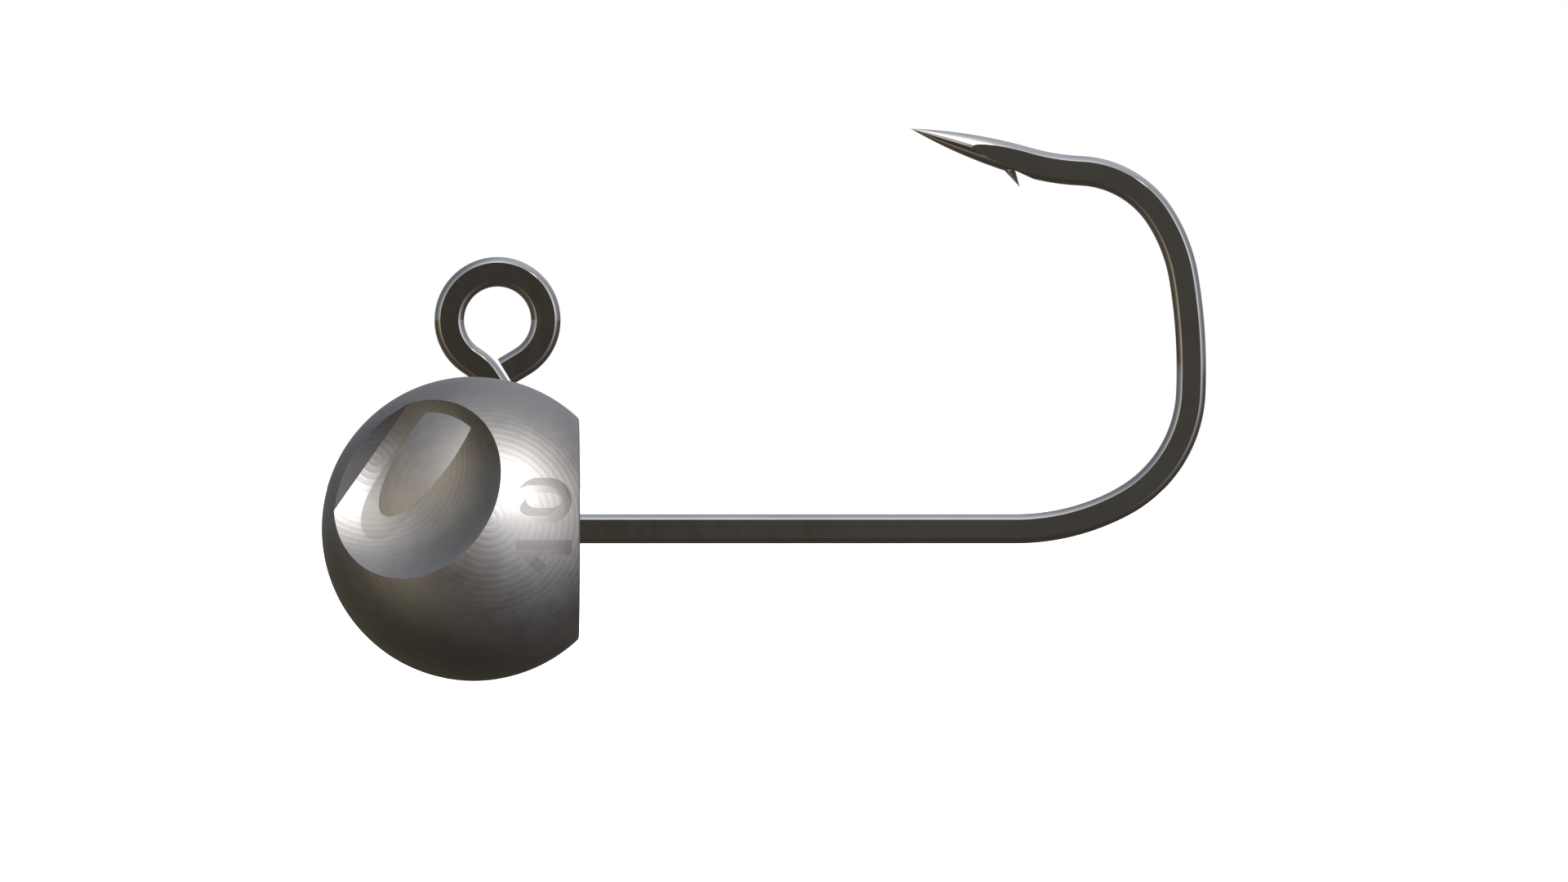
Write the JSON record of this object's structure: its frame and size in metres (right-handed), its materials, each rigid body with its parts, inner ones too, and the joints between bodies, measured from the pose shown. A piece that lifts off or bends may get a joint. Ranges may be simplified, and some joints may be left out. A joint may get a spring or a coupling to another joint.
{
  "type": "fishing jig head",
  "caption": "Ball jig head: a cast lead-alloy ball with a flat back and hollowed sides round a forged, barbed hook with a ring line eye.",
  "frame": {"origin": "centre of the line eye", "axes": "+X along the shank from the head towards the bend, +Y along the bore of the line eye, across the hook's flat sides, +Z from the shank towards the line eye and the point"},
  "size_m": [0.016, 0.0054, 0.01],
  "materials": {
    "head": "bare cast lead alloy, satin grey",
    "hook": "black nickel plate, gloss"
  },
  "bodies": {
    "root": {"head": "head", "hook": "hook"}
  },
  "joints": []
}
